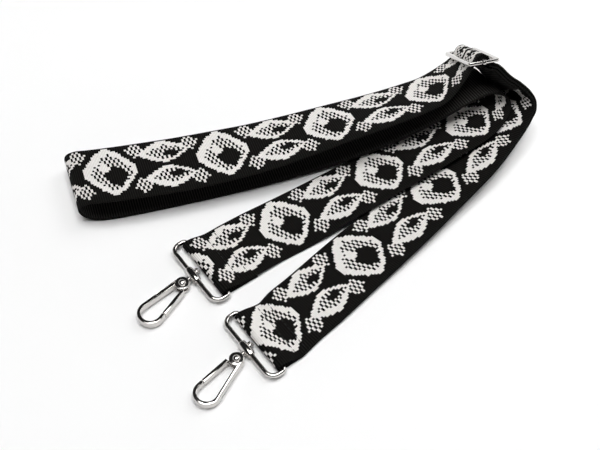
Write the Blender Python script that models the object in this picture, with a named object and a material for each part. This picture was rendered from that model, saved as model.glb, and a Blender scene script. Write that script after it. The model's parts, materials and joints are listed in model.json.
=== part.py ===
"""Detachable bag strap, laid folded on a table.

One length of woven webbing is sewn round the loop of one swivel snap hook, runs to the right, curls back to
the left, folds over and passes through a slider, bends round to the loop of the second hook, and comes back
along itself to the slider, where its end is sewn round the centre bar.
Units are metres, +Z is up, and the origin is on the table under the middle of the laid strap.
"""

import math

import bmesh
import bpy
from mathutils import Matrix, Vector

# Webbing
strap_width = 0.038
webbing_thickness = 0.0014
layer_gap = 0.0003
strap_width_share = 0.38
span_steps = 3
wrap_steps = 10
settle_length = 0.012
settle_steps = 6

# Loop rings
ring_wire = 0.0026
ring_side_gap = 0.0006
ring_depth = 0.0086
ring_outer_corner = 0.0048
ring_inner_corner = 0.0016
ring_wire_sides = 12
corner_steps = 6
collar_radius = 0.0021
collar_length = 0.0094
play_angle = math.radians(18)

# Snap hooks
boss_radius = 0.0038
boss_height = 0.0046
hook_length = 0.0232
hook_end_radius = 0.0070
hook_band = 0.0019
hook_height = 0.0042
shank_radius = 0.0011
neck_radius = 0.0017
neck_length = 0.0009
shank_head_radius = 0.0020
shank_head_height = 0.0010
gate_end_inset = 0.0030
gate_opening = math.radians(20)
gate_shift = math.radians(5)
fork_reach = math.radians(117)
knuckle_radius = 0.0020
knuckle_height = 0.0018
pin_radius = 0.0008
pin_head_radius = 0.0015
pin_head_height = 0.0004

# Slider
slider_length = 0.0185
slider_side_gap = 0.0005
slider_bar_width = 0.0024
slider_end_width = 0.0020
slider_thickness = 0.0018
slider_corner = 0.0016
window_corner = 0.0004
lug_diameter = 0.0034
centre_bar_radius = 0.0009
centre_bar_head_radius = 0.0014
centre_bar_head_height = 0.0006
slider_pass_angle = math.radians(56)
slider_pass_run = 0.0040

# Sewn ends
hook_tail_length = 0.019
slider_tail_length = 0.028

# Fits
clearance = 0.0003
overrun = 0.0010

# Headings on the table and the slider's lean, in degrees
loop_1_heading = 216.2
loop_2_heading = 216.0
hook_1_heading = 234.0
hook_2_heading = 230.2
slider_heading = 13.5
slider_lean = 36.0

# Derived sizes
layer_step = webbing_thickness + layer_gap
half_width = strap_width / 2
route_reach = strap_width / strap_width_share
half_thickness = webbing_thickness / 2
wire_radius = ring_wire / 2
wrap_radius = wire_radius + clearance + half_thickness
bar_height = half_thickness + wrap_radius
ring_half_width = half_width + ring_side_gap + wire_radius
bar_wrap_radius = centre_bar_radius + clearance + half_thickness
gate_length = hook_length - gate_end_inset
boss_swing = boss_height / 2 * math.sin(play_angle)
boss_reach = boss_radius + neck_length + (collar_radius + clearance + boss_swing) / math.cos(play_angle)
head_reach = (collar_radius + clearance + shank_head_radius * math.sin(play_angle)) / math.cos(play_angle)
round_sides = 32
band_steps = 17
crease_angle = math.radians(40)

# The strap's route. Each row holds the place of its centre line in shares of the route's reach, of which the
# strap's width is a share too, the lift of its far edge in layers of webbing, the heading of the line across
# it and that line's lean, in degrees.
strand_2_shares = [
    (-0.211, -0.096, 0.30, 124.0, 0.0),
    (-0.098, -0.022, 0.0, 123.0, 0.0),
    (0.009, 0.045, 0.0, 121.5, -2.0),
    (0.114, 0.112, 0.05, 121.5, -4.2),
    (0.211, 0.175, 0.1, 121.5, -6.4),
    (0.458, 0.336, 0.15, 121.5, -9.8),
    (0.666, 0.467, 0.2, 121.5, -13.0),
    (0.800, 0.552, 0.3, 121.5, -16.0),
    (0.970, 0.665, 0.4, 121.0, -19.7),
]
right_curl_shares = [
    (1.038, 0.733, 0.6, 118.0, -21.2),
    (1.087, 0.798, 1.1, 114.5, -21.2),
    (1.110, 0.862, 2.0, 112.5, -20.8),
    (1.098, 0.905, 3.4, 111.0, -20.6),
    (1.062, 0.922, 4.0, 110.0, -21.0),
    (1.008, 0.925, 4.0, 109.5, -20.6),
]
lower_layer_shares = [
    (0.914, 0.893, 3.4, 109.5, -18.8),
    (0.777, 0.832, 2.1, 109.5, -15.8),
    (0.640, 0.760, 0.8, 110.0, -14.5),
    (0.436, 0.680, 0.2, 110.0, -9.1),
    (0.214, 0.599, 0.05, 109.5, -4.8),
    (-0.007, 0.519, 0.0, 109.0, -2.7),
    (-0.223, 0.447, 0.0, 108.0, -1.2),
    (-0.437, 0.382, 0.0, 107.0, -0.5),
    (-0.651, 0.322, 0.0, 106.5, 0.0),
    (-0.863, 0.264, 0.0, 106.5, 0.0),
    (-1.060, 0.217, 0.0, 106.5, 0.0),
]
left_fold_shares = [
    (-1.145, 0.205, 0.3, 107.0, 0.0),
    (-1.200, 0.202, 1.8, 107.5, 0.0),
    (-1.228, 0.202, 4.2, 108.0, 0.0),
    (-1.218, 0.202, 6.9, 108.0, 0.0),
    (-1.172, 0.200, 8.7, 108.0, 0.0),
    (-1.100, 0.200, 9.4, 108.0, 0.0),
]
top_strand_shares = [
    (-0.954, 0.222, 9.6, 108.0, 0.0),
    (-0.645, 0.292, 9.1, 108.5, 0.0),
    (-0.435, 0.350, 8.6, 109.0, -1.8),
    (-0.222, 0.415, 7.95, 109.0, -5.0),
    (-0.010, 0.492, 7.4, 110.0, -9.4),
    (0.205, 0.574, 7.05, 111.0, -14.2),
    (0.422, 0.656, 6.8, 112.0, -17.9),
    (0.642, 0.748, 6.75, 112.0, -21.3),
    (0.765, 0.815, 6.75, 110.0, -24.6),
]
slider_shares = (0.975, 1.000)
slider_lift = 8.3
right_fold_shares = [
    (1.087, 0.964, 5.2, 98.0, -44.0),
    (1.142, 0.904, 2.8, 100.0, -47.0),
    (1.194, 0.880, 1.2, 104.0, -46.0),
    (1.231, 0.866, 0.4, 108.0, -41.0),
    (1.243, 0.833, 0.15, 114.5, -36.0),
    (1.225, 0.785, 0.0, 121.0, -31.0),
    (1.189, 0.741, 0.0, 127.0, -27.8),
    (1.137, 0.667, 0.0, 132.0, -25.2),
]
strand_3_shares = [
    (1.050, 0.552, 0.0, 135.5, -21.3),
    (0.941, 0.414, 0.0, 136.5, -17.0),
    (0.835, 0.302, 0.0, 136.5, -13.7),
    (0.718, 0.181, 0.0, 136.5, -10.7),
    (0.592, 0.046, 0.0, 136.5, -8.0),
    (0.382, -0.172, 0.0, 136.5, -5.0),
    (0.270, -0.284, 0.0, 136.0, -3.0),
    (0.067, -0.496, 0.0, 135.0, -1.0),
    (-0.027, -0.588, 0.0, 133.0, 0.0),
]
loop_1_shares = (-0.196, -0.744)
loop_2_shares = (-0.484, -0.298)


def material(name, colour, roughness, metallic):
    """A plain Principled material."""
    result = bpy.data.materials.new(name)
    result.use_nodes = True
    shader = result.node_tree.nodes["Principled BSDF"]
    shader.inputs["Base Color"].default_value = (*colour, 1.0)
    shader.inputs["Roughness"].default_value = roughness
    shader.inputs["Metallic"].default_value = metallic
    result.diffuse_color = (*colour, 1.0)
    return result


def add_object(name, mesh, surface, place):
    """Links a mesh as a named object at its place."""
    mesh.materials.append(surface)
    result = bpy.data.objects.new(name, mesh)
    bpy.context.scene.collection.objects.link(result)
    result.matrix_world = place
    return result


def rings_to_mesh(name, rings, closed=False):
    """Skins a run of rings of points, with end caps where the run is open."""
    mesh = bpy.data.meshes.new(name)
    bm = bmesh.new()
    loops = [[bm.verts.new(point) for point in ring] for ring in rings]
    count = len(loops[0])
    pairs = list(zip(loops, loops[1:]))
    if closed:
        pairs.append((loops[-1], loops[0]))
    for first, second in pairs:
        for side in range(count):
            following = (side + 1) % count
            bm.faces.new((first[side], first[following], second[following], second[side]))
    if not closed:
        bm.faces.new(list(reversed(loops[0])))
        bm.faces.new(loops[-1])
    bmesh.ops.recalc_face_normals(bm, faces=bm.faces)
    bm.to_mesh(mesh)
    bm.free()
    return mesh


def prism(name, outline, height):
    """An outline in x and y, raised evenly above and below z = 0."""
    rings = [[Vector((x, y, z)) for x, y in outline] for z in (-height / 2, height / 2)]
    return rings_to_mesh(name, rings)


def turned(name, profile):
    """A round piece about x, from pairs of x and radius."""
    rings = []
    for x, radius in profile:
        ring = []
        for step in range(round_sides):
            angle = math.tau * step / round_sides
            ring.append(Vector((x, radius * math.cos(angle), radius * math.sin(angle))))
        rings.append(ring)
    mesh = rings_to_mesh(name, rings)
    mesh.shade_smooth()
    mesh.set_sharp_from_angle(angle=crease_angle)
    return mesh


def arc(centre_x, centre_y, radius, start, end, steps):
    """Points along an arc in x and y."""
    points = []
    for step in range(steps + 1):
        angle = start + (end - start) * step / steps
        points.append((centre_x + radius * math.cos(angle), centre_y + radius * math.sin(angle)))
    return points


def upright(mesh):
    """Turns a piece made about x to stand along z."""
    mesh.transform(Matrix.Rotation(-math.pi / 2, 4, "Y"))
    return mesh


def sideways(mesh, x, y):
    """Turns a piece made about x to lie along y, and moves its middle."""
    mesh.transform(Matrix.Translation((x, y, 0)) @ Matrix.Rotation(math.pi / 2, 4, "Z"))
    return mesh


def combine(target, mesh, operation):
    """Joins a hidden shape, given in the target's own frame, to the target or cuts it away."""
    tool = bpy.data.objects.new(mesh.name, mesh)
    bpy.context.scene.collection.objects.link(tool)
    tool.parent = target
    tool.hide_render = True
    tool.display_type = "WIRE"
    modifier = target.modifiers.new(mesh.name, "BOOLEAN")
    modifier.operation = operation
    modifier.solver = "EXACT"
    modifier.object = tool


def direction(degrees):
    """A level unit vector."""
    angle = math.radians(degrees)
    return Vector((math.cos(angle), math.sin(angle), 0))


def placement(origin, x_axis, y_axis):
    """A frame from its origin and two of its axes."""
    rotation = Matrix((x_axis, y_axis, x_axis.cross(y_axis))).transposed().to_4x4()
    return Matrix.Translation(origin) @ rotation


def level_placement(origin, heading):
    """A level frame whose x axis has a heading."""
    return placement(origin, direction(heading), direction(heading + 90))


def across_line(heading, lean):
    """The line across the strap, from its near edge to its far edge."""
    result = direction(heading) * math.cos(math.radians(lean))
    result.z = math.sin(math.radians(lean))
    return result


def station(row):
    """The centre of the strap and the line across it, at one row of the route."""
    x_share, y_share, lift, heading, lean = row
    across = across_line(heading, lean)
    height = half_thickness + lift * layer_step - half_width * across.z
    return Vector((x_share * route_reach, y_share * route_reach, height)), across


def between(first, second, moment, low, high):
    """A point between two others, by its moment between theirs."""
    weight = (moment - low) / (high - low)
    return first * (1 - weight) + second * weight


def smooth_run(stations):
    """A smooth curve through the stations, without the first and last of them, which only steer it."""
    samples = []
    for four in zip(stations, stations[1:], stations[2:], stations[3:]):
        knots = [0.0]
        for first, second in zip(four, four[1:]):
            knots.append(knots[-1] + math.sqrt((second[0] - first[0]).length))
        for step in range(span_steps):
            moment = knots[1] + (knots[2] - knots[1]) * step / span_steps
            sample = []
            for part in (0, 1):
                values = [entry[part] for entry in four]
                near = [between(values[i], values[i + 1], moment, knots[i], knots[i + 1]) for i in range(3)]
                wide = [between(near[i], near[i + 1], moment, knots[i], knots[i + 2]) for i in range(2)]
                sample.append(between(wide[0], wide[1], moment, knots[1], knots[2]))
            samples.append(tuple(sample))
    samples.append(stations[-2])
    return samples


def faced(samples):
    """Adds the face's normal to each sample."""
    result = []
    for index, (place, across) in enumerate(samples):
        ahead = samples[min(index + 1, len(samples) - 1)][0]
        behind = samples[max(index - 1, 0)][0]
        along = (ahead - behind).normalized()
        result.append((place, across.normalized(), along.cross(across).normalized()))
    return result


def eased(distance, length):
    """A smooth step from 0 to 1 over a length."""
    share = min(max(distance / length, 0), 1)
    return share * share * (3 - 2 * share)


def second_layer(samples, wide_step, close_step):
    """A layer along some samples, a wide step off at the first of them and a close one once it settles."""
    result = []
    travelled = 0.0
    last = samples[0][0]
    for place, across, normal in samples:
        travelled += (place - last).length
        last = place
        step = wide_step + (close_step - wide_step) * eased(travelled, settle_length)
        result.append((place + normal * step, across))
    return result


def loop_run(place, length):
    """The flat run of the lower layer up to a loop's bar, from its far end."""
    samples = []
    for step in range(settle_steps + 1):
        distance = length * (1 - step / settle_steps)
        point = place @ Vector((-distance, 0, half_thickness - bar_height))
        samples.append((point, place.to_3x3() @ Vector((0, -1, 0))))
    return samples


def loop_wrap(place):
    """The half turn round a loop's bar, from below to above, without its ends."""
    samples = []
    for step in range(1, wrap_steps):
        angle = math.pi * step / wrap_steps - math.pi / 2
        point = place @ Vector((wrap_radius * math.cos(angle), 0, wrap_radius * math.sin(angle)))
        samples.append((point, place.to_3x3() @ Vector((0, -1, 0))))
    return samples


def slider_arc(place, radius, start, end):
    """A turn round the slider's centre bar, with angles from its face's normal towards the right."""
    samples = []
    for step in range(wrap_steps + 1):
        angle = start + (end - start) * step / wrap_steps
        point = place @ Vector((radius * math.sin(angle), 0, radius * math.cos(angle)))
        samples.append((point, place.to_3x3() @ Vector((0, 1, 0))))
    return samples


def slider_exit(place, side):
    """The station where the strap passes a side bar, on its straight run off the centre bar."""
    radius = bar_wrap_radius + layer_step
    out = radius * math.sin(slider_pass_angle) + slider_pass_run * math.cos(slider_pass_angle)
    depth = radius * math.cos(slider_pass_angle) - slider_pass_run * math.sin(slider_pass_angle)
    return place @ Vector((side * out, 0, depth)), place.to_3x3() @ Vector((0, 1, 0))


def strap_samples(loop_1, loop_2, slider):
    """The whole strap, from the end sewn under the first strand to the end sewn under the slider."""
    radius = bar_wrap_radius + layer_step
    tail_run = loop_run(loop_2, hook_tail_length)
    upper = second_layer([(p, w, -n) for p, w, n in reversed(faced(tail_run))], 2 * wrap_radius, layer_step)

    rows = strand_2_shares + right_curl_shares + lower_layer_shares + left_fold_shares + top_strand_shares
    over_bar = slider_arc(slider, radius, -slider_pass_angle, slider_pass_angle)
    entry = slider_exit(slider, -1)
    middle = smooth_run([upper[-2], upper[-1], *[station(row) for row in rows], entry, over_bar[0]])

    rows = right_fold_shares + strand_3_shares
    flat_run = loop_run(loop_1, settle_length)
    steer = [over_bar[-2], over_bar[-1], slider_exit(slider, 1), *[station(row) for row in rows]]
    outer = smooth_run([*steer, flat_run[0], flat_run[1]]) + flat_run[1:]

    backs = [(p, w, -n) for p, w, n in faced(outer)]
    inner = second_layer(list(reversed(backs)), 2 * wrap_radius, layer_step)
    back_wrap = slider_arc(slider, bar_wrap_radius, slider_pass_angle, slider_pass_angle - math.pi)
    tail = second_layer(backs, radius + bar_wrap_radius, 2 * layer_step)
    length = 0.0
    kept = 1
    while length < slider_tail_length:
        length += (tail[kept][0] - tail[kept - 1][0]).length
        kept += 1

    front = tail_run + loop_wrap(loop_2) + upper[:-1] + middle + over_bar[:-1] + outer
    return front + loop_wrap(loop_1) + inner[:-1] + back_wrap[:-1] + tail[:kept]


def add_webbing(loop_1, loop_2, slider):
    """The webbing as one closed band of oblong section."""
    surface = material("black webbing", (0.020, 0.019, 0.020), 0.85, 0.0)
    rings = []
    for place, across, normal in faced(strap_samples(loop_1, loop_2, slider)):
        ring = []
        for side, face in ((-1, -1), (1, -1), (1, 1), (-1, 1)):
            ring.append(place + across * (side * half_width) + normal * (face * half_thickness))
        rings.append(ring)
    return add_object("webbing", rings_to_mesh("webbing", rings), surface, Matrix.Identity(4))


def ring_outline():
    """The centre line of a loop's wire: its straight bar at x = 0 and its outer bar at the ring's depth."""
    inner = ring_inner_corner
    outer = ring_outer_corner
    right = math.pi / 2
    points = arc(inner, ring_half_width - inner, inner, 2 * right, right, corner_steps)
    points += arc(ring_depth - outer, ring_half_width - outer, outer, right, 0, corner_steps)
    points += arc(ring_depth - outer, outer - ring_half_width, outer, 0, -right, corner_steps)
    points += arc(inner, inner - ring_half_width, inner, -right, -2 * right, corner_steps)
    return points


def add_loop(name, place, surface):
    """A loop ring of wire with a collar on its outer bar, slotted for the hook's shank."""
    points = ring_outline()
    rings = []
    for index, (x, y) in enumerate(points):
        ahead = Vector((*points[(index + 1) % len(points)], 0))
        behind = Vector((*points[index - 1], 0))
        side = (ahead - behind).normalized().cross(Vector((0, 0, 1)))
        ring = []
        for step in range(ring_wire_sides):
            angle = math.tau * step / ring_wire_sides
            lift = Vector((0, 0, math.sin(angle)))
            ring.append(Vector((x, y, 0)) + wire_radius * (math.cos(angle) * side + lift))
        rings.append(ring)
    mesh = rings_to_mesh(name, rings, closed=True)
    mesh.shade_smooth()
    loop = add_object(name, mesh, surface, place)

    rim = [(-collar_length / 2, collar_radius), (collar_length / 2, collar_radius)]
    combine(loop, sideways(turned(name + "_collar", rim), ring_depth, 0), "UNION")

    shank_room = shank_radius + clearance
    slot_half = collar_radius * math.tan(play_angle) + shank_room / math.cos(play_angle)
    half_depth = collar_radius + overrun
    corners = [(ring_depth + x * half_depth, y * slot_half) for x, y in ((-1, -1), (1, -1), (1, 1), (-1, 1))]
    combine(loop, prism(name + "_slot", corners, 2 * shank_room), "DIFFERENCE")
    return loop


def band_outline(inset):
    """The drop-shaped outline of a hook's band, whose small end lies inside the boss, drawn in by an inset."""
    end = hook_end_radius - inset
    small = boss_radius - clearance - inset
    spread = math.pi / 2 + math.asin((end - small) / hook_length)
    points = arc(hook_length, 0, end, -spread, spread, band_steps)
    points += arc(0, 0, small, spread, math.tau - spread, band_steps)
    return points


def mirrored(points, side):
    """An outline, mirrored for a gate on the other side."""
    return [(x, side * y) for x, y in points]


def pin_bore(name):
    """The bore for the gate's pin."""
    room = pin_radius + clearance
    return upright(turned(name, [(-boss_height, room), (boss_height, room)]))


def add_hook(name, place, side, surface):
    """A snap hook's body about its boss, with its shank, its fork for the gate and its open band."""
    hook = add_object(name, prism(name, band_outline(0), hook_height), surface, place)
    opening = prism(name + "_opening", band_outline(hook_band), hook_height + overrun)
    combine(hook, opening, "DIFFERENCE")

    gap = [(0, 0)] + arc(0, 0, gate_length + clearance, gate_shift, fork_reach, round_sides)
    combine(hook, prism(name + "_gap", mirrored(gap, side), hook_height + overrun), "DIFFERENCE")

    rim = [(-boss_height / 2, boss_radius), (boss_height / 2, boss_radius)]
    combine(hook, upright(turned(name + "_boss", rim)), "UNION")

    room = knuckle_radius + clearance
    shoulder = (collar_radius + clearance + boss_swing) / math.cos(play_angle) - boss_reach
    seat = -boss_reach - head_reach
    shank = turned(name + "_shank", [
        (seat - shank_head_height, shank_head_radius - shank_head_height / 2),
        (seat - shank_head_height / 2, shank_head_radius),
        (seat, shank_head_radius),
        (seat, shank_radius),
        (shoulder, shank_radius),
        (shoulder, neck_radius),
        (-room, neck_radius),
    ])
    combine(hook, shank, "UNION")

    fork = arc(0, 0, boss_radius + overrun, -gate_opening, fork_reach, band_steps)
    fork += arc(0, 0, room, fork_reach, math.tau - gate_opening, band_steps)
    fork_height = knuckle_height + 2 * clearance
    combine(hook, prism(name + "_fork", mirrored(fork, side), fork_height), "DIFFERENCE")
    combine(hook, pin_bore(name + "_bore"), "DIFFERENCE")
    return hook


def add_gate(name, place, side, surface):
    """A hook's gate: a bar along the open side of the band and a knuckle in the boss's fork."""
    slope = math.asin((hook_end_radius - boss_radius) / hook_length)
    turn = Matrix.Rotation(slope, 2)
    inner = boss_radius - hook_band
    start = math.sqrt((boss_radius + clearance) ** 2 - inner ** 2)
    bar = [
        (start, inner),
        (math.sqrt(gate_length ** 2 - inner ** 2), inner),
        (math.sqrt(gate_length ** 2 - boss_radius ** 2), boss_radius),
        (start, boss_radius),
    ]
    link = [
        (0, 0),
        (start + hook_band, inner + clearance),
        (start + hook_band, boss_radius - clearance),
        (0, knuckle_radius - clearance),
    ]
    bar = mirrored([turn @ Vector(point) for point in bar], side)
    link = mirrored([turn @ Vector(point) for point in link], side)
    gate = add_object(name, prism(name, bar, hook_height), surface, place)
    combine(gate, prism(name + "_link", link, knuckle_height - clearance), "UNION")
    rim = [(-knuckle_height / 2, knuckle_radius), (knuckle_height / 2, knuckle_radius)]
    combine(gate, upright(turned(name + "_knuckle", rim)), "UNION")
    combine(gate, pin_bore(name + "_bore"), "DIFFERENCE")
    return gate


def add_gate_pin(name, place, surface):
    """The rivet that a gate turns on, with a head above and below the boss."""
    seat = boss_height / 2 + clearance
    top = seat + pin_head_height
    rim = pin_head_radius - pin_head_height
    profile = [(-top, rim), (-seat, pin_head_radius), (-seat, pin_radius)]
    profile += [(seat, pin_radius), (seat, pin_head_radius), (top, rim)]
    return add_object(name, upright(turned(name, profile)), surface, place)


def rounded_oblong(length, width, corner):
    """An oblong outline with round corners."""
    points = []
    quarter = math.pi / 2
    for index, (x_side, y_side) in enumerate(((1, 1), (-1, 1), (-1, -1), (1, -1))):
        centre_x = x_side * (length / 2 - corner)
        centre_y = y_side * (width / 2 - corner)
        points += arc(centre_x, centre_y, corner, index * quarter, (index + 1) * quarter, corner_steps)
    return points


def add_slider_frame(place, surface):
    """The slider's frame: two side bars across the strap and two end plates with lugs for the centre bar."""
    room = strap_width + 2 * slider_side_gap
    width = room + 2 * slider_end_width
    mesh = prism("slider_frame", rounded_oblong(slider_length, width, slider_corner), slider_thickness)
    frame = add_object("slider_frame", mesh, surface, place)
    for number, side in ((1, -1), (2, 1)):
        rim = [(-slider_end_width / 2, lug_diameter / 2), (slider_end_width / 2, lug_diameter / 2)]
        lug = turned(f"slider_lug_{number}", rim)
        combine(frame, sideways(lug, 0, side * (room + slider_end_width) / 2), "UNION")
    window = rounded_oblong(slider_length - 2 * slider_bar_width, room, window_corner)
    combine(frame, prism("slider_window", window, lug_diameter + overrun), "DIFFERENCE")
    bore_radius = centre_bar_radius + clearance
    bore = turned("slider_bore", [(-width, bore_radius), (width, bore_radius)])
    combine(frame, sideways(bore, 0, 0), "DIFFERENCE")
    return frame


def add_slider_bar(place, surface):
    """The slider's centre bar, headed outside both end plates."""
    seat = half_width + slider_side_gap + slider_end_width + clearance
    top = seat + centre_bar_head_height
    rim = centre_bar_head_radius - centre_bar_head_height / 2
    profile = [(-top, rim), (-seat, centre_bar_head_radius), (-seat, centre_bar_radius)]
    profile += [(seat, centre_bar_radius), (seat, centre_bar_head_radius), (top, rim)]
    return add_object("slider_bar", sideways(turned("slider_bar", profile), 0, 0), surface, place)


def slider_placement():
    """The slider's frame: x along the strap, y across it from the near edge, z out of its face."""
    x_share, y_share = slider_shares
    across = across_line(slider_heading + 90, -slider_lean)
    height = half_thickness + slider_lift * layer_step - half_width * across.z
    normal = direction(slider_heading).cross(across).normalized()
    return placement(Vector((x_share * route_reach, y_share * route_reach, height)), across.cross(normal), across)


def hook_placement(loop, heading):
    """A hook's frame at its boss, from the loop that carries it."""
    return level_placement(loop @ Vector((ring_depth, 0, 0)) + direction(heading) * boss_reach, heading)


def stand_on_table(objects):
    """Moves the strap so that the origin is on the table, under the middle of its outline."""
    bpy.context.view_layer.update()
    scene = bpy.context.evaluated_depsgraph_get()
    corners = []
    for item in objects:
        solid = item.evaluated_get(scene)
        corners += [solid.matrix_world @ vertex.co for vertex in solid.data.vertices]
    low = [min(corner[axis] for corner in corners) for axis in range(3)]
    high = [max(corner[axis] for corner in corners) for axis in range(3)]
    shift = Vector((-(low[0] + high[0]) / 2, -(low[1] + high[1]) / 2, -low[2]))
    for item in objects:
        item.matrix_world = Matrix.Translation(shift) @ item.matrix_world


def build():
    """Builds every piece of the strap."""
    for item in list(bpy.data.objects):
        bpy.data.objects.remove(item, do_unlink=True)
    nickel = material("polished nickel", (0.80, 0.79, 0.77), 0.12, 1.0)
    places = {}
    for number, shares, heading in ((1, loop_1_shares, loop_1_heading), (2, loop_2_shares, loop_2_heading)):
        origin = Vector((shares[0] * route_reach, shares[1] * route_reach, bar_height))
        places[number] = level_placement(origin, heading)
    slider = slider_placement()
    objects = [add_webbing(places[1], places[2], slider)]
    for number, heading, side in ((1, hook_1_heading, -1), (2, hook_2_heading, 1)):
        hook_place = hook_placement(places[number], heading)
        objects.append(add_loop(f"loop_{number}", places[number], nickel))
        objects.append(add_hook(f"hook_{number}", hook_place, side, nickel))
        objects.append(add_gate(f"gate_{number}", hook_place, side, nickel))
        objects.append(add_gate_pin(f"gate_pin_{number}", hook_place, nickel))
    objects.append(add_slider_frame(slider, nickel))
    objects.append(add_slider_bar(slider, nickel))
    stand_on_table(objects)


build()
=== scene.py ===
import math

import bmesh
import bpy
from mathutils import Matrix, Vector
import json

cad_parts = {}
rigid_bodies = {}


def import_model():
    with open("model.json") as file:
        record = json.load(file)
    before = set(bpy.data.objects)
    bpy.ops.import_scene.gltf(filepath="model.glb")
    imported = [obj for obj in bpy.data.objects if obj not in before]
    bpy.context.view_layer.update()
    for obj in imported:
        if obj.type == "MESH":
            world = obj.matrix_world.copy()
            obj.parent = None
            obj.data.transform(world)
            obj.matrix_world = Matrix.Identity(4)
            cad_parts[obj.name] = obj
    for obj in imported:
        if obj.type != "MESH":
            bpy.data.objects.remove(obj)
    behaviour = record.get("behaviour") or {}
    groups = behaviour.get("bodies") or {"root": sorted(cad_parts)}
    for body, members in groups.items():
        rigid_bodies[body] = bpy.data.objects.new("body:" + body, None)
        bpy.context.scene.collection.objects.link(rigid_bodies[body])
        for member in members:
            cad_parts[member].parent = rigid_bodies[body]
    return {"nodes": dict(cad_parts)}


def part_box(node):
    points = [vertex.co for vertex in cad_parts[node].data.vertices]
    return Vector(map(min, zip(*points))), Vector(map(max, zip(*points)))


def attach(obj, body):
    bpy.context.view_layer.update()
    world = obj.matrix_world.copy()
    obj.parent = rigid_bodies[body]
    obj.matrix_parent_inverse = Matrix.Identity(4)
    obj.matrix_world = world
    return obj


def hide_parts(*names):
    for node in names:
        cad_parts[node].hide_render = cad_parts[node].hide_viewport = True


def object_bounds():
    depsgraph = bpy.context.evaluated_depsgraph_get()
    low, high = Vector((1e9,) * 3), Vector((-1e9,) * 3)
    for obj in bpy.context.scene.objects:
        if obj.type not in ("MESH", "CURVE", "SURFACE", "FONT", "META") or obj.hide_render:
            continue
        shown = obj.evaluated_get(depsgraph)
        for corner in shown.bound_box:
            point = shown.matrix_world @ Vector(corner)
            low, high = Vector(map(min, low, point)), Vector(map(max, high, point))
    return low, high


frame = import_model()
cad_low, cad_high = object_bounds()

# Camera
# A long lens looks down at the laid strap from its near side, as in the photograph.
camera_elevation = 53
camera_distance = 0.670
camera_aim = Vector((-0.001133, -0.003795, 0.00007))
camera_data = bpy.data.cameras.new("camera")
camera_data.lens = 75
camera = bpy.data.objects.new("camera", camera_data)
bpy.context.scene.collection.objects.link(camera)
camera_slope = math.radians(camera_elevation)
camera.location = camera_aim + camera_distance * Vector((0, -math.cos(camera_slope), math.sin(camera_slope)))
camera.rotation_euler = (math.radians(90 - camera_elevation), 0, 0)
bpy.context.scene.camera = camera

# Webbing
# One length of 38 mm jacquard webbing, woven in polyester with a cream figure on a black ground. Its selvages
# are black and its back is plain and ribbed. It is folded, threaded through the slider and sewn round both
# loops.
strap_width = 0.038
strap_width_share = 0.38
webbing_thickness = 0.0014
layer_gap = 0.0003
span_steps = 8
wrap_steps = 20
settle_length = 0.012
settle_steps = 12
ring_wire = 0.0026
ring_depth = 0.0086
centre_bar_radius = 0.0009
slider_pass_angle = math.radians(56)
slider_pass_run = 0.0040
hook_tail_length = 0.019
slider_tail_length = 0.028
clearance = 0.0003
loop_1_heading = 216.2
loop_2_heading = 216.0
slider_heading = 13.5
slider_lean = 36.0

layer_step = webbing_thickness + layer_gap
half_width = strap_width / 2
route_reach = strap_width / strap_width_share
half_thickness = webbing_thickness / 2
wrap_radius = ring_wire / 2 + clearance + half_thickness
bar_height = half_thickness + wrap_radius
bar_wrap_radius = centre_bar_radius + clearance + half_thickness

# The strap's route. Each row holds the place of its centre line in shares of the route's reach, the lift of
# its far edge in layers of webbing, the heading of the line across it and that line's lean, in degrees.
strand_2_shares = [
    (-0.211, -0.096, 0.30, 124.0, 0.0),
    (-0.098, -0.022, 0.0, 123.0, 0.0),
    (0.009, 0.045, 0.0, 121.5, -2.0),
    (0.114, 0.112, 0.05, 121.5, -4.2),
    (0.211, 0.175, 0.1, 121.5, -6.4),
    (0.458, 0.336, 0.15, 121.5, -9.8),
    (0.666, 0.467, 0.2, 121.5, -13.0),
    (0.800, 0.552, 0.3, 121.5, -16.0),
    (0.970, 0.665, 0.4, 121.0, -19.7),
]
right_curl_shares = [
    (1.038, 0.733, 0.6, 118.0, -21.2),
    (1.087, 0.798, 1.1, 114.5, -21.2),
    (1.110, 0.862, 2.0, 112.5, -20.8),
    (1.098, 0.905, 3.4, 111.0, -20.6),
    (1.062, 0.922, 4.0, 110.0, -21.0),
    (1.008, 0.925, 4.0, 109.5, -20.6),
]
lower_layer_shares = [
    (0.914, 0.893, 3.4, 109.5, -18.8),
    (0.777, 0.832, 2.1, 109.5, -15.8),
    (0.640, 0.760, 0.8, 110.0, -14.5),
    (0.436, 0.680, 0.2, 110.0, -9.1),
    (0.214, 0.599, 0.05, 109.5, -4.8),
    (-0.007, 0.519, 0.0, 109.0, -2.7),
    (-0.223, 0.447, 0.0, 108.0, -1.2),
    (-0.437, 0.382, 0.0, 107.0, -0.5),
    (-0.651, 0.322, 0.0, 106.5, 0.0),
    (-0.863, 0.264, 0.0, 106.5, 0.0),
    (-1.060, 0.217, 0.0, 106.5, 0.0),
]
left_fold_shares = [
    (-1.145, 0.205, 0.3, 107.0, 0.0),
    (-1.200, 0.202, 1.8, 107.5, 0.0),
    (-1.228, 0.202, 4.2, 108.0, 0.0),
    (-1.218, 0.202, 6.9, 108.0, 0.0),
    (-1.172, 0.200, 8.7, 108.0, 0.0),
    (-1.100, 0.200, 9.4, 108.0, 0.0),
]
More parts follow.
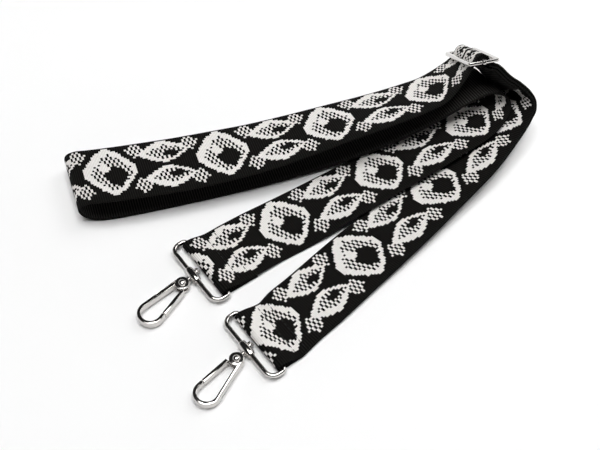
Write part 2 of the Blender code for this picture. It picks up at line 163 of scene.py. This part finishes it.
top_strand_shares = [
    (-0.954, 0.222, 9.6, 108.0, 0.0),
    (-0.645, 0.292, 9.1, 108.5, 0.0),
    (-0.435, 0.350, 8.6, 109.0, -1.8),
    (-0.222, 0.415, 7.95, 109.0, -5.0),
    (-0.010, 0.492, 7.4, 110.0, -9.4),
    (0.205, 0.574, 7.05, 111.0, -14.2),
    (0.422, 0.656, 6.8, 112.0, -17.9),
    (0.642, 0.748, 6.75, 112.0, -21.3),
    (0.765, 0.815, 6.75, 110.0, -24.6),
]
slider_shares = (0.975, 1.000)
slider_lift = 8.3
right_fold_shares = [
    (1.087, 0.964, 5.2, 98.0, -44.0),
    (1.142, 0.904, 2.8, 100.0, -47.0),
    (1.194, 0.880, 1.2, 104.0, -46.0),
    (1.231, 0.866, 0.4, 108.0, -41.0),
    (1.243, 0.833, 0.15, 114.5, -36.0),
    (1.225, 0.785, 0.0, 121.0, -31.0),
    (1.189, 0.741, 0.0, 127.0, -27.8),
    (1.137, 0.667, 0.0, 132.0, -25.2),
]
strand_3_shares = [
    (1.050, 0.552, 0.0, 135.5, -21.3),
    (0.941, 0.414, 0.0, 136.5, -17.0),
    (0.835, 0.302, 0.0, 136.5, -13.7),
    (0.718, 0.181, 0.0, 136.5, -10.7),
    (0.592, 0.046, 0.0, 136.5, -8.0),
    (0.382, -0.172, 0.0, 136.5, -5.0),
    (0.270, -0.284, 0.0, 136.0, -3.0),
    (0.067, -0.496, 0.0, 135.0, -1.0),
    (-0.027, -0.588, 0.0, 133.0, 0.0),
]
loop_1_shares = (-0.196, -0.744)
loop_2_shares = (-0.484, -0.298)


def direction(degrees):
    """A level unit vector."""
    angle = math.radians(degrees)
    return Vector((math.cos(angle), math.sin(angle), 0))


def placement(origin, x_axis, y_axis):
    """A frame from its origin and two of its axes."""
    rotation = Matrix((x_axis, y_axis, x_axis.cross(y_axis))).transposed().to_4x4()
    return Matrix.Translation(origin) @ rotation


def level_placement(origin, heading):
    """A level frame whose x axis has a heading."""
    return placement(origin, direction(heading), direction(heading + 90))


def across_line(heading, lean):
    """The line across the strap, from its near edge to its far edge."""
    result = direction(heading) * math.cos(math.radians(lean))
    result.z = math.sin(math.radians(lean))
    return result


def station(row):
    """The centre of the strap and the line across it, at one row of the route."""
    x_share, y_share, lift, heading, lean = row
    across = across_line(heading, lean)
    height = half_thickness + lift * layer_step - half_width * across.z
    return Vector((x_share * route_reach, y_share * route_reach, height)), across


def between(first, second, moment, low, high):
    """A point between two others, by its moment between theirs."""
    weight = (moment - low) / (high - low)
    return first * (1 - weight) + second * weight


def smooth_run(stations):
    """A smooth curve through the stations, without the first and last of them, which only steer it."""
    samples = []
    for four in zip(stations, stations[1:], stations[2:], stations[3:]):
        knots = [0.0]
        for first, second in zip(four, four[1:]):
            knots.append(knots[-1] + math.sqrt((second[0] - first[0]).length))
        for step in range(span_steps):
            moment = knots[1] + (knots[2] - knots[1]) * step / span_steps
            sample = []
            for part in (0, 1):
                values = [entry[part] for entry in four]
                near = [between(values[i], values[i + 1], moment, knots[i], knots[i + 1]) for i in range(3)]
                wide = [between(near[i], near[i + 1], moment, knots[i], knots[i + 2]) for i in range(2)]
                sample.append(between(wide[0], wide[1], moment, knots[1], knots[2]))
            samples.append(tuple(sample))
    samples.append(stations[-2])
    return samples


def faced(samples):
    """Adds the face's normal to each sample."""
    result = []
    for index, (place, across) in enumerate(samples):
        ahead = samples[min(index + 1, len(samples) - 1)][0]
        behind = samples[max(index - 1, 0)][0]
        along = (ahead - behind).normalized()
        result.append((place, across.normalized(), along.cross(across).normalized()))
    return result


def eased(distance, length):
    """A smooth step from 0 to 1 over a length."""
    share = min(max(distance / length, 0), 1)
    return share * share * (3 - 2 * share)


def second_layer(samples, wide_step, close_step):
    """A layer along some samples, a wide step off at the first of them and a close one once it settles."""
    result = []
    travelled = 0.0
    last = samples[0][0]
    for place, across, normal in samples:
        travelled += (place - last).length
        last = place
        step = wide_step + (close_step - wide_step) * eased(travelled, settle_length)
        result.append((place + normal * step, across))
    return result


def loop_run(place, length):
    """The flat run of the lower layer up to a loop's bar, from its far end."""
    samples = []
    for step in range(settle_steps + 1):
        distance = length * (1 - step / settle_steps)
        point = place @ Vector((-distance, 0, half_thickness - bar_height))
        samples.append((point, place.to_3x3() @ Vector((0, -1, 0))))
    return samples


def loop_wrap(place):
    """The half turn round a loop's bar, from below to above, without its ends."""
    samples = []
    for step in range(1, wrap_steps):
        angle = math.pi * step / wrap_steps - math.pi / 2
        point = place @ Vector((wrap_radius * math.cos(angle), 0, wrap_radius * math.sin(angle)))
        samples.append((point, place.to_3x3() @ Vector((0, -1, 0))))
    return samples


def slider_arc(place, radius, start, end):
    """A turn round the slider's centre bar, with angles from its face's normal towards the right."""
    samples = []
    for step in range(wrap_steps + 1):
        angle = start + (end - start) * step / wrap_steps
        point = place @ Vector((radius * math.sin(angle), 0, radius * math.cos(angle)))
        samples.append((point, place.to_3x3() @ Vector((0, 1, 0))))
    return samples


def slider_exit(place, side):
    """The station where the strap passes a side bar, on its straight run off the centre bar."""
    radius = bar_wrap_radius + layer_step
    out = radius * math.sin(slider_pass_angle) + slider_pass_run * math.cos(slider_pass_angle)
    depth = radius * math.cos(slider_pass_angle) - slider_pass_run * math.sin(slider_pass_angle)
    return place @ Vector((side * out, 0, depth)), place.to_3x3() @ Vector((0, 1, 0))


def strap_samples(loop_1, loop_2, slider):
    """The whole strap, from the end sewn under the first strand to the end sewn under the slider."""
    radius = bar_wrap_radius + layer_step
    tail_run = loop_run(loop_2, hook_tail_length)
    upper = second_layer([(p, w, -n) for p, w, n in reversed(faced(tail_run))], 2 * wrap_radius, layer_step)

    rows = strand_2_shares + right_curl_shares + lower_layer_shares + left_fold_shares + top_strand_shares
    over_bar = slider_arc(slider, radius, -slider_pass_angle, slider_pass_angle)
    entry = slider_exit(slider, -1)
    middle = smooth_run([upper[-2], upper[-1], *[station(row) for row in rows], entry, over_bar[0]])

    rows = right_fold_shares + strand_3_shares
    flat_run = loop_run(loop_1, settle_length)
    steer = [over_bar[-2], over_bar[-1], slider_exit(slider, 1), *[station(row) for row in rows]]
    outer = smooth_run([*steer, flat_run[0], flat_run[1]]) + flat_run[1:]

    backs = [(p, w, -n) for p, w, n in faced(outer)]
    inner = second_layer(list(reversed(backs)), 2 * wrap_radius, layer_step)
    back_wrap = slider_arc(slider, bar_wrap_radius, slider_pass_angle, slider_pass_angle - math.pi)
    tail = second_layer(backs, radius + bar_wrap_radius, 2 * layer_step)
    length = 0.0
    kept = 1
    while length < slider_tail_length:
        length += (tail[kept][0] - tail[kept - 1][0]).length
        kept += 1

    front = tail_run + loop_wrap(loop_2) + upper[:-1] + middle + over_bar[:-1] + outer
    return front + loop_wrap(loop_1) + inner[:-1] + back_wrap[:-1] + tail[:kept]


def slider_placement():
    """The slider's frame: x along the strap, y across it from the near edge, z out of its face."""
    x_share, y_share = slider_shares
    across = across_line(slider_heading + 90, -slider_lean)
    height = half_thickness + slider_lift * layer_step - half_width * across.z
    normal = direction(slider_heading).cross(across).normalized()
    origin = Vector((x_share * route_reach, y_share * route_reach, height))
    return placement(origin, across.cross(normal), across)


# The route is laid out about the point that the camera aims at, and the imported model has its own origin.
laid_shift = camera_aim
laid_places = []
for shares, heading in ((loop_1_shares, loop_1_heading), (loop_2_shares, loop_2_heading)):
    laid_origin = Vector((shares[0] * route_reach, shares[1] * route_reach, bar_height))
    laid_places.append(level_placement(laid_origin, heading))
laid_slider = slider_placement()
laid_route = faced(strap_samples(*laid_places, laid_slider))

# The woven band's section runs along its back, round the far selvage, along its face and round the near one.
# Its UV map is in metres, with the back and the selvages set off from the face.
face_spans = 14
selvage_spans = 6
back_offset = 0.100
selvage_offset = 0.200
section = []
selvage_reach = half_width - half_thickness
for step in range(face_spans + 1):
    section.append((selvage_reach * (2 * step / face_spans - 1), -half_thickness))
for step in range(1, selvage_spans):
    turn = math.pi * step / selvage_spans - math.pi / 2
    section.append((selvage_reach + half_thickness * math.cos(turn), half_thickness * math.sin(turn)))
for step in range(face_spans + 1):
    section.append((selvage_reach * (1 - 2 * step / face_spans), half_thickness))
for step in range(1, selvage_spans):
    turn = math.pi * step / selvage_spans + math.pi / 2
    section.append((-selvage_reach + half_thickness * math.cos(turn), half_thickness * math.sin(turn)))

weave = bmesh.new()
weave_uv = weave.loops.layers.uv.new("weave")
weave_rings = []
weave_lengths = []
travelled = 0.0
last_place = laid_route[0][0]
for place, across, normal in laid_route:
    travelled += (place - last_place).length
    last_place = place
    weave_lengths.append(travelled)
    weave_rings.append([weave.verts.new(place + laid_shift + across * s + normal * t) for s, t in section])
for index in range(len(weave_rings) - 1):
    for side in range(len(section)):
        following = (side + 1) % len(section)
        quad = weave.faces.new((weave_rings[index][side], weave_rings[index][following],
                                weave_rings[index + 1][following], weave_rings[index + 1][side]))
        offset = selvage_offset
        if side < face_spans:
            offset = back_offset
        elif face_spans + selvage_spans <= side < 2 * face_spans + selvage_spans:
            offset = 0.0
        for corner, ring, point in zip(quad.loops, (0, 0, 1, 1), (side, following, following, side)):
            corner[weave_uv].uv = (weave_lengths[index + ring], offset + section[point][0] + half_width)
for ring, index in ((weave_rings[0][::-1], 0), (weave_rings[-1], -1)):
    cut_end = weave.faces.new(ring)
    for corner in cut_end.loops:
        corner[weave_uv].uv = (weave_lengths[index], selvage_offset)
bmesh.ops.recalc_face_normals(weave, faces=weave.faces)
weave_mesh = bpy.data.meshes.new("jacquard_webbing")
weave.to_mesh(weave_mesh)
weave.free()
weave_mesh.shade_smooth()
webbing = bpy.data.objects.new("jacquard_webbing", weave_mesh)
bpy.context.scene.collection.objects.link(webbing)


def linear(hex_colour):
    """An sRGB hex value as the linear colour that a shader takes."""
    result = []
    for start in (0, 2, 4):
        share = int(hex_colour[start:start + 2], 16) / 255
        result.append(share / 12.92 if share <= 0.04045 else ((share + 0.055) / 1.055) ** 2.4)
    return (*result, 1.0)


def add_node(tree, kind, *values, sockets=None, **settings):
    """Adds a shader node with its settings, links or sets its open inputs in turn and by name, and returns
    its first open output."""
    node = tree.nodes.new("ShaderNode" + kind)
    for name, value in settings.items():
        setattr(node, name, value)
    open_inputs = [socket for socket in node.inputs if socket.enabled]
    pairs = list(zip(open_inputs, values))
    pairs += [(node.inputs[name], value) for name, value in (sockets or {}).items()]
    for socket, value in pairs:
        if isinstance(value, bpy.types.NodeSocket):
            tree.links.new(value, socket)
        elif value is not None:
            socket.default_value = value
    return next((socket for socket in node.outputs if socket.enabled), None)


def new_material(name):
    """An empty node material and its tree."""
    result = bpy.data.materials.new(name)
    result.use_nodes = True
    result.node_tree.nodes.clear()
    return result, result.node_tree


def woven_shape(tree, x, y, centre, reach, roundness):
    """One where a stepped, rounded lozenge covers the cell at x and y, in millimetres, else nought."""
    terms = []
    for place, middle, half in ((x, centre[0], reach[0]), (y, centre[1], reach[1])):
        away = add_node(tree, "Math", add_node(tree, "Math", place, middle, operation="SUBTRACT"),
                        operation="ABSOLUTE")
        share = add_node(tree, "Math", away, half, operation="DIVIDE")
        terms.append(add_node(tree, "Math", share, roundness, operation="POWER"))
    total = add_node(tree, "Math", *terms, operation="ADD")
    return add_node(tree, "Math", total, 1.0, operation="LESS_THAN")


def without(tree, whole, cut):
    """The part of one woven shape outside another."""
    outside = add_node(tree, "Math", 1.0, cut, operation="SUBTRACT")
    return add_node(tree, "Math", whole, outside, operation="MULTIPLY")


# Jacquard polyester, in millimetres. Each weave cell is 1.23 mm along the strap and half a float of 2.4 mm
# across it, and the figure repeats every 50 cells. Matt cream floats lie proud of the black ground, which
# takes up nearly all light. The threads are too fine to show, so their lines are drawn 0.82 mm apart, as
# painted shade between the cream threads. The back's ribs are 1.4 mm apart, and the face and selvages have a
# rib to each cell; each rib has a painted highlight on its crest and painted shade in its groove, as well as
# its bump.
millimetres = 1000.0
cell_along = 1.23
cell_across = 38 / 32
repeat_length = 50 * cell_along
figure_middle = 20.25
figure_start = 2.2
figure_end = 37.2
thread_pitch = 0.82
thread_shade_contrast = 0.45
thread_fuzz = 0.6
back_rib_pitch = 1.4
rib_shade_contrast = 0.50
rib_fuzz = 0.5
rib_relief = 0.35
float_rise = 0.00012
fuzz_scale = 700.0
back_middle = (back_offset + half_width) * millimetres
back_reach = 25.0
jacquard, tree = new_material("jacquard polyester webbing")
uv = add_node(tree, "UVMap", uv_map="weave")
uv_parts = add_node(tree, "SeparateXYZ", uv).node
along = add_node(tree, "Math", uv_parts.outputs[0], millimetres, operation="MULTIPLY")
across = add_node(tree, "Math", uv_parts.outputs[1], millimetres, operation="MULTIPLY")
cells = []
for distance, pitch in ((along, cell_along), (across, cell_across)):
    steps = add_node(tree, "Math", distance, pitch, operation="DIVIDE")
    steps = add_node(tree, "Math", steps, operation="FLOOR")
    centred = add_node(tree, "Math", steps, 0.5, operation="ADD")
    cells.append((steps, add_node(tree, "Math", centred, pitch, operation="MULTIPLY")))
(row, cell_x), (column, cell_y) = cells
cell_x = add_node(tree, "Math", cell_x, repeat_length, operation="MODULO")
from_middle = add_node(tree, "Math", cell_y, figure_middle, operation="SUBTRACT")
from_middle = add_node(tree, "Math", from_middle, operation="ABSOLUTE")
from_joint = add_node(tree, "Math", cell_x, repeat_length / 4, operation="PINGPONG")

# The figure is a medallion on the middle line, a pair of leaves after it and sprays of specks between them.
medallion = woven_shape(tree, cell_x, cell_y, (15.4, figure_middle), (14.8, 16.9), 1.30)
medallion_field = woven_shape(tree, cell_x, cell_y, (16.4, 19.55), (11.0, 13.2), 1.30)
medallion_heart = woven_shape(tree, cell_x, cell_y, (18.4, 16.85), (6.6, 7.6), 1.20)
seed = woven_shape(tree, cell_x, cell_y, (12.6, 23.85), (3.0, 4.4), 1.0)
leaf = woven_shape(tree, cell_x, from_middle, (46.2, 8.9), (14.6, 7.9), 1.20)
leaf_field = woven_shape(tree, cell_x, from_middle, (47.4, 8.3), (10.9, 5.3), 1.20)
leaf_heart = woven_shape(tree, cell_x, from_middle, (50.2, 7.5), (5.0, 2.6), 1.10)
spray = woven_shape(tree, from_joint, from_middle, (0.0, 12.9), (5.4, 6.0), 1.0)

solid = add_node(tree, "Math", without(tree, medallion, medallion_field), without(tree, leaf, leaf_field),
                 operation="MAXIMUM")
solid = add_node(tree, "Math", solid, seed, operation="MAXIMUM")
speckled = add_node(tree, "Math", without(tree, medallion_field, medallion_heart),
                    without(tree, leaf_field, leaf_heart), operation="MAXIMUM")
speckled = add_node(tree, "Math", speckled, spray, operation="MAXIMUM")
row_turn = add_node(tree, "Math", row, 2.0, operation="FLOORED_MODULO")
float_number = add_node(tree, "Math", row_turn, 2.0, column, operation="MULTIPLY_ADD")
float_number = add_node(tree, "Math", float_number, 2.0, operation="DIVIDE")
float_number = add_node(tree, "Math", float_number, operation="FLOOR")
floats = add_node(tree, "Math", float_number, 2.0, operation="FLOORED_MODULO")
speckled = add_node(tree, "Math", speckled, floats, operation="MULTIPLY")
cream = add_node(tree, "Math", solid, speckled, operation="MAXIMUM")
for operation, limit in (("GREATER_THAN", figure_start), ("LESS_THAN", figure_end)):
    cream = add_node(tree, "Math", cream, add_node(tree, "Math", cell_y, limit, operation=operation),
                     operation="MULTIPLY")

lines = []
for pitch in (thread_pitch, cell_along, back_rib_pitch):
    turn = add_node(tree, "Math", along, math.tau / pitch, operation="MULTIPLY")
    lines.append(add_node(tree, "Math", turn, operation="SINE"))
threads, face_ribs, back_ribs = lines
on_back = add_node(tree, "Math", across, back_middle, back_reach, operation="COMPARE")
ribs = add_node(tree, "Mix", on_back, face_ribs, back_ribs)
fuzz = add_node(tree, "TexNoise", sockets={"Vector": uv, "Scale": fuzz_scale, "Detail": 2.0})
uneven = add_node(tree, "Math", fuzz, 0.5, operation="SUBTRACT")
# The tones of the painted shade in the grooves between ribs and between threads, each with random fuzz.
groove_and_fuzz_shades = []
for yarns, painted_line_contrast, fuzz_depth in ((ribs, rib_shade_contrast, rib_fuzz), (threads, thread_shade_contrast, thread_fuzz)):
    shade = add_node(tree, "Math", yarns, painted_line_contrast, 0.5, operation="MULTIPLY_ADD")
    groove_and_fuzz_shades.append(add_node(tree, "Math", uneven, fuzz_depth, shade, operation="MULTIPLY_ADD"))
# Painted highlight and shade: the black ground's rib crests are drawn lighter, more so on the back, and the
# grooves between ribs near black.
crest_highlights = add_node(tree, "Mix", on_back, linear("1a1917"), linear("343331"), data_type="RGBA")
ground = add_node(tree, "Mix", groove_and_fuzz_shades[0], linear("010101"), crest_highlights, data_type="RGBA")
# Painted shade: the cream yarn is drawn darker in lines between its threads, with random fuzz in its tone.
yarn = add_node(tree, "Mix", groove_and_fuzz_shades[1], linear("d0ccc7"), linear("f2f0ee"), data_type="RGBA")
colour = add_node(tree, "Mix", cream, ground, yarn, data_type="RGBA")
relief = add_node(tree, "Math", ribs, rib_relief, cream, operation="MULTIPLY_ADD")
bump = add_node(tree, "Bump", sockets={"Strength": 0.7, "Distance": float_rise, "Height": relief})
cloth = add_node(tree, "BsdfPrincipled", sockets={
    "Base Color": colour, "Roughness": 0.9, "Normal": bump, "Specular IOR Level": 0.08})
add_node(tree, "OutputMaterial", cloth)
weave_mesh.materials.append(jacquard)

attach(webbing, "strap")
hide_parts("webbing")

# Sewn seams
# Two rows of black polyester lockstitch hold the end that is turned back round each loop. The thread sinks
# into the webbing, so each stitch shows as a low, rounded bar with a dull, slightly uneven black.
seam_places = (-0.0098, -0.0155)
seam_reach = 0.0165
stitch_length = 0.0024
stitch_gap = 0.0006
stitch_radius = 0.00022
stitch_rise = 0.00008
fibre_scale = 2500.0
fibre_rise = 0.00005
sewing_thread, tree = new_material("black sewing thread")
place = add_node(tree, "TexCoord").node.outputs["Object"]
twist = add_node(tree, "TexNoise", sockets={"Vector": place, "Scale": fibre_scale, "Detail": 2.0})
thread_colour = add_node(tree, "Mix", twist, linear("060607"), linear("17171a"), data_type="RGBA")
thread_bump = add_node(tree, "Bump", sockets={"Strength": 0.4, "Distance": fibre_rise, "Height": twist})
thread_finish = add_node(tree, "BsdfPrincipled", sockets={
    "Base Color": thread_colour, "Roughness": 0.6, "Normal": thread_bump, "Specular IOR Level": 0.2})
add_node(tree, "OutputMaterial", thread_finish)

bpy.ops.object.select_all(action="DESELECT")
bpy.ops.mesh.primitive_uv_sphere_add(segments=8, ring_count=6, radius=stitch_radius)
stitch_model = bpy.context.object
bpy.ops.object.mode_set(mode="EDIT")
bpy.ops.mesh.select_all(action="SELECT")
bpy.ops.transform.resize(value=(1, stitch_length / (2 * stitch_radius), 1), center_override=(0, 0, 0))
bpy.ops.mesh.select_all(action="DESELECT")
bpy.ops.object.mode_set(mode="OBJECT")
stitch_model.data.shade_smooth()


def on_webbing(place, x, y):
    """The place on the webbing's upper face over a point of a level frame, and the face's normal there."""
    above = place @ Vector((x, y, 0))
    above.z = cad_high.z + clearance
    _, spot, normal, _ = webbing.ray_cast(above, Vector((0, 0, -1)))
    return spot, normal


def seam(name, place):
    """The rows of stitches across the strap beside one loop, laid on the webbing."""
    bpy.ops.object.select_all(action="DESELECT")
    stitches = []
    count = int((2 * seam_reach + stitch_gap) / (stitch_length + stitch_gap))
    for x in seam_places:
        for number in range(count):
            y = stitch_length / 2 - seam_reach + number * (stitch_length + stitch_gap)
            spot, normal = on_webbing(place, x, y)
            across = place.to_3x3() @ Vector((0, 1, 0))
            across = (across - normal * across.dot(normal)).normalized()
            stitch = bpy.data.objects.new(name, stitch_model.data.copy())
            stitch.data.transform(placement(spot + normal * stitch_rise, across.cross(normal), across))
            bpy.context.scene.collection.objects.link(stitch)
            stitches.append(stitch)
            stitch.select_set(True)
    bpy.context.view_layer.objects.active = stitches[0]
    bpy.ops.object.join()
    stitches[0].data.materials.append(sewing_thread)
    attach(stitches[0], "strap")


bpy.context.view_layer.update()
loop_places = [Matrix.Translation(laid_shift) @ place for place in laid_places]
for number, loop_place in zip((1, 2), loop_places):
    seam(f"loop_{number}_seams", loop_place)
bpy.data.objects.remove(stitch_model, do_unlink=True)

# Loop rings
# Each loop is one zinc casting: a ring of 2.6 mm round bar, with a barrel-shaped collar on its outer side in
# which the hook's shank turns. It is polished and plated with bright nickel, which gives sharp, slightly warm
# reflections.
ring_side_gap = 0.0006
ring_outer_corner = 0.0048
ring_inner_corner = 0.0016
corner_steps = 12
wire_radius = ring_wire / 2
ring_half_width = half_width + ring_side_gap + wire_radius
collar_profile = ((-0.0047, 0.0015), (-0.0047, 0.0019), (-0.0044, 0.0021), (-0.0034, 0.0023),
                  (-0.0018, 0.00245), (0.0, 0.0025), (0.0018, 0.00245), (0.0034, 0.0023), (0.0044, 0.0021),
                  (0.0047, 0.0019), (0.0047, 0.0015))
round_sides = 40
wire_roundness = 5
smooth_angle = math.radians(35)
haze_scale = 900.0
ripple_scale = 260.0
ripple_rise = 0.00004
nickel, tree = new_material("bright nickel plate")
place = add_node(tree, "TexCoord").node.outputs["Object"]
haze = add_node(tree, "TexNoise", sockets={"Vector": place, "Scale": haze_scale, "Detail": 3.0})
roughness = add_node(tree, "MapRange", haze, 0.3, 0.7, 0.05, 0.14)
ripple = add_node(tree, "TexNoise", sockets={"Vector": place, "Scale": ripple_scale, "Detail": 1.0})
polish_bump = add_node(tree, "Bump", sockets={"Strength": 0.25, "Distance": ripple_rise, "Height": ripple})
plate = add_node(tree, "BsdfPrincipled", sockets={
    "Base Color": linear("cbc8c5"), "Metallic": 1.0, "Roughness": roughness, "Normal": polish_bump})
add_node(tree, "OutputMaterial", plate)


def turned(name, profile):
    """A solid turned about z, from pairs of height and radius, with its first and last rings closed."""
    bpy.ops.object.select_all(action="DESELECT")
    height, radius = profile[0]
    bpy.ops.mesh.primitive_circle_add(vertices=round_sides, radius=radius, fill_type="NGON",
                                      location=(0, 0, height))
    result = bpy.context.object
    result.name = name
    bpy.ops.object.transform_apply(location=True, rotation=False, scale=False)
    bpy.ops.object.mode_set(mode="EDIT")
    bpy.ops.mesh.select_all(action="SELECT")
    for (last_height, last_radius), (height, radius) in zip(profile, profile[1:]):
        bpy.ops.mesh.extrude_region_move(TRANSFORM_OT_translate={"value": (0, 0, height - last_height)})
        grown = radius / last_radius
        bpy.ops.transform.resize(value=(grown, grown, 1), center_override=(0, 0, height))
    bpy.ops.mesh.select_all(action="SELECT")
    bpy.ops.mesh.normals_make_consistent(inside=False)
    bpy.ops.object.mode_set(mode="OBJECT")
    return result


def finish_metal(piece, body, node_name):
    """Gives a metal piece its smooth shading, its plating and its body, and hides the CAD node that it stands
    for.
    """
    bpy.ops.object.select_all(action="DESELECT")
    piece.select_set(True)
    bpy.context.view_layer.objects.active = piece
    bpy.ops.object.shade_smooth_by_angle(angle=smooth_angle)
    piece.data.materials.clear()
    piece.data.materials.append(nickel)
    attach(piece, body)
    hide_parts(node_name)


def ring_corner(centre_x, centre_y, radius, start):
    """A quarter turn of the ring's centre line, clockwise from an angle in quarter turns."""
    points = []
    for step in range(corner_steps + 1):
        angle = math.pi / 2 * (start - step / corner_steps)
        points.append((centre_x + radius * math.cos(angle), centre_y + radius * math.sin(angle)))
    return points


inner_y = ring_half_width - ring_inner_corner
outer_y = ring_half_width - ring_outer_corner
outer_x = ring_depth - ring_outer_corner
ring_line = ring_corner(ring_inner_corner, inner_y, ring_inner_corner, 2)
ring_line += ring_corner(outer_x, outer_y, ring_outer_corner, 1)
ring_line += ring_corner(outer_x, -outer_y, ring_outer_corner, 0)
ring_line += ring_corner(ring_inner_corner, -inner_y, ring_inner_corner, -1)
for number, loop_place in zip((1, 2), loop_places):
    wire = bpy.data.curves.new(f"loop_ring_{number}", "CURVE")
    wire.dimensions = "3D"
    wire.bevel_depth = wire_radius
    wire.bevel_resolution = wire_roundness
    spline = wire.splines.new("POLY")
    spline.points.add(len(ring_line) - 1)
    for point, (x, y) in zip(spline.points, ring_line):
        point.co = (x, y, 0, 1)
    spline.use_cyclic_u = True
    ring = bpy.data.objects.new(f"loop_ring_{number}", wire)
    bpy.context.scene.collection.objects.link(ring)
    bpy.ops.object.select_all(action="DESELECT")
    ring.select_set(True)
    bpy.context.view_layer.objects.active = ring
    bpy.ops.object.convert(target="MESH")
    collar = turned(f"loop_collar_{number}", collar_profile)
    collar.data.transform(Matrix.Translation((ring_depth, 0, 0)) @ Matrix.Rotation(-math.pi / 2, 4, "X"))
    ring = bpy.data.objects[f"loop_ring_{number}"]
    collar.select_set(True)
    ring.select_set(True)
    bpy.context.view_layer.objects.active = ring
    bpy.ops.object.join()
    ring.data.transform(loop_place)
    finish_metal(ring, f"loop_{number}", f"loop_{number}")

# Snap hooks
# Each hook is one zinc casting: a round boss with a shank, and an open, drop-shaped band. Its edges are
# broken and polished, and it is plated like the loops.
hook_edge = 0.0003
edge_angle = math.radians(40)
edge_steps = 3
flat_angle = math.radians(1)
merge_distance = 0.000002


def rounded_copy(node_name, name, edge):
    """A merged copy of a cast CAD node, with its flat faces joined and its edges broken."""
    result = bpy.data.objects.new(name, frame["nodes"][node_name].data.copy())
    bpy.context.scene.collection.objects.link(result)
    bpy.ops.object.select_all(action="DESELECT")
    result.select_set(True)
    bpy.context.view_layer.objects.active = result
    bpy.ops.object.mode_set(mode="EDIT")
    bpy.ops.mesh.select_all(action="SELECT")
    bpy.ops.mesh.remove_doubles(threshold=merge_distance)
    bpy.ops.mesh.dissolve_limited(angle_limit=flat_angle)
    bpy.ops.object.mode_set(mode="OBJECT")
    bevel = result.modifiers.new("broken edges", "BEVEL")
    bevel.width = edge
    bevel.segments = edge_steps
    bevel.limit_method = "ANGLE"
    bevel.angle_limit = edge_angle
    bevel.use_clamp_overlap = False
    bpy.ops.object.modifier_apply(modifier=bevel.name)
    return result


for hook_name in ("hook_1", "hook_2"):
    finish_metal(rounded_copy(hook_name, f"snap_{hook_name}", hook_edge), hook_name, hook_name)

# Gates
# Each gate is a cast zinc bar that closes the band's open side, plated like the hook. A coil spring inside
# the boss holds it shut.
gate_edge = 0.00025
for gate_name in ("gate_1", "gate_2"):
    finish_metal(rounded_copy(gate_name, f"hook_{gate_name}", gate_edge), gate_name, gate_name)

# Gate rivets
# A steel rivet, plated like the hook, holds each gate in the boss's fork. Its lower head is small and its
# upper head is a wide, polished dome.
rivet_profile = ((-0.0030, 0.0009), (-0.0028, 0.0013), (-0.0026, 0.0015), (-0.0026, 0.0008),
                 (0.00235, 0.0008), (0.00235, 0.0020), (0.0027, 0.00192), (0.0031, 0.0016), (0.0034, 0.0011),
                 (0.00355, 0.0006), (0.0036, 0.0002))
for number in (1, 2):
    low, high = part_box(f"gate_pin_{number}")
    rivet = turned(f"gate_rivet_{number}", rivet_profile)
    rivet.data.transform(Matrix.Translation((Vector(low) + Vector(high)) / 2))
    finish_metal(rivet, f"hook_{number}", f"gate_pin_{number}")

# Slider
# A rectangular frame of cast zinc with a round centre bar riveted into its ends, both plated like the loops.
# The webbing runs over the centre bar, and its inner end is sewn round it.
slider_edge = 0.0004
bar_edge = 0.00015
finish_metal(rounded_copy("slider_frame", "slider_surround", slider_edge), "slider", "slider_frame")
finish_metal(rounded_copy("slider_bar", "slider_centre_bar", bar_edge), "slider", "slider_bar")

# The white table and the studio light
# A smooth, matt white surface carries the strap, and a key lamp at the right and back throws soft shadows.
# The studio has white walls, a bright ceiling and a dark band between them, with a small dark spot straight
# above. The polished faces show all of these.
table_size = 6
bpy.ops.object.select_all(action="DESELECT")
bpy.ops.mesh.primitive_plane_add(size=table_size, location=(0, 0, 0))
table = bpy.context.object
table.name = "white_table"
table_top, tree = new_material("white table top")
matt = add_node(tree, "BsdfDiffuse", linear("fafafa"))
add_node(tree, "OutputMaterial", matt)
table.data.materials.append(table_top)

key_data = bpy.data.lights.new("key_lamp", "AREA")
key_data.shape = "SQUARE"
key_data.size = 0.7
key_data.energy = 4.4
key_lamp = bpy.data.objects.new("key_lamp", key_data)
key_lamp.location = (0.7, 0.5, 1.0)
key_lamp.rotation_euler = (-key_lamp.location).to_track_quat("-Z", "Y").to_euler()
bpy.context.scene.collection.objects.link(key_lamp)

wall_level = 1.05
side_gain = 0.45
band_level = 0.02
ceiling_level = 8.9
band_low = 0.30
band_high = 0.945
band_blur = 0.02
spot_start = 0.990
spot_blur = 0.003
studio = bpy.data.worlds.new("studio")
bpy.context.scene.world = studio
studio.use_nodes = True
tree = studio.node_tree
tree.nodes.clear()
sky_direction = add_node(tree, "TexCoord")
sky_parts = add_node(tree, "SeparateXYZ", sky_direction).node
upward = sky_parts.outputs["Z"]
to_band = add_node(tree, "MapRange", upward, band_low - band_blur, band_low + band_blur, wall_level,
                   band_level)
to_ceiling = add_node(tree, "MapRange", upward, band_high - band_blur, band_high + band_blur, 0.0,
                      ceiling_level - band_level)
level = add_node(tree, "Math", to_band, to_ceiling, operation="ADD")
beside_spot = add_node(tree, "MapRange", upward, spot_start - spot_blur, spot_start + spot_blur, 1.0,
                       band_level)
level = add_node(tree, "Math", level, beside_spot, operation="MULTIPLY")
sideways = add_node(tree, "Math", sky_parts.outputs["X"], side_gain, 1.0, operation="MULTIPLY_ADD")
level = add_node(tree, "Math", level, sideways, operation="MULTIPLY")
glow = add_node(tree, "Background", linear("ffffff"), level)
add_node(tree, "OutputWorld", glow)
bpy.context.scene.view_settings.view_transform = "Standard"
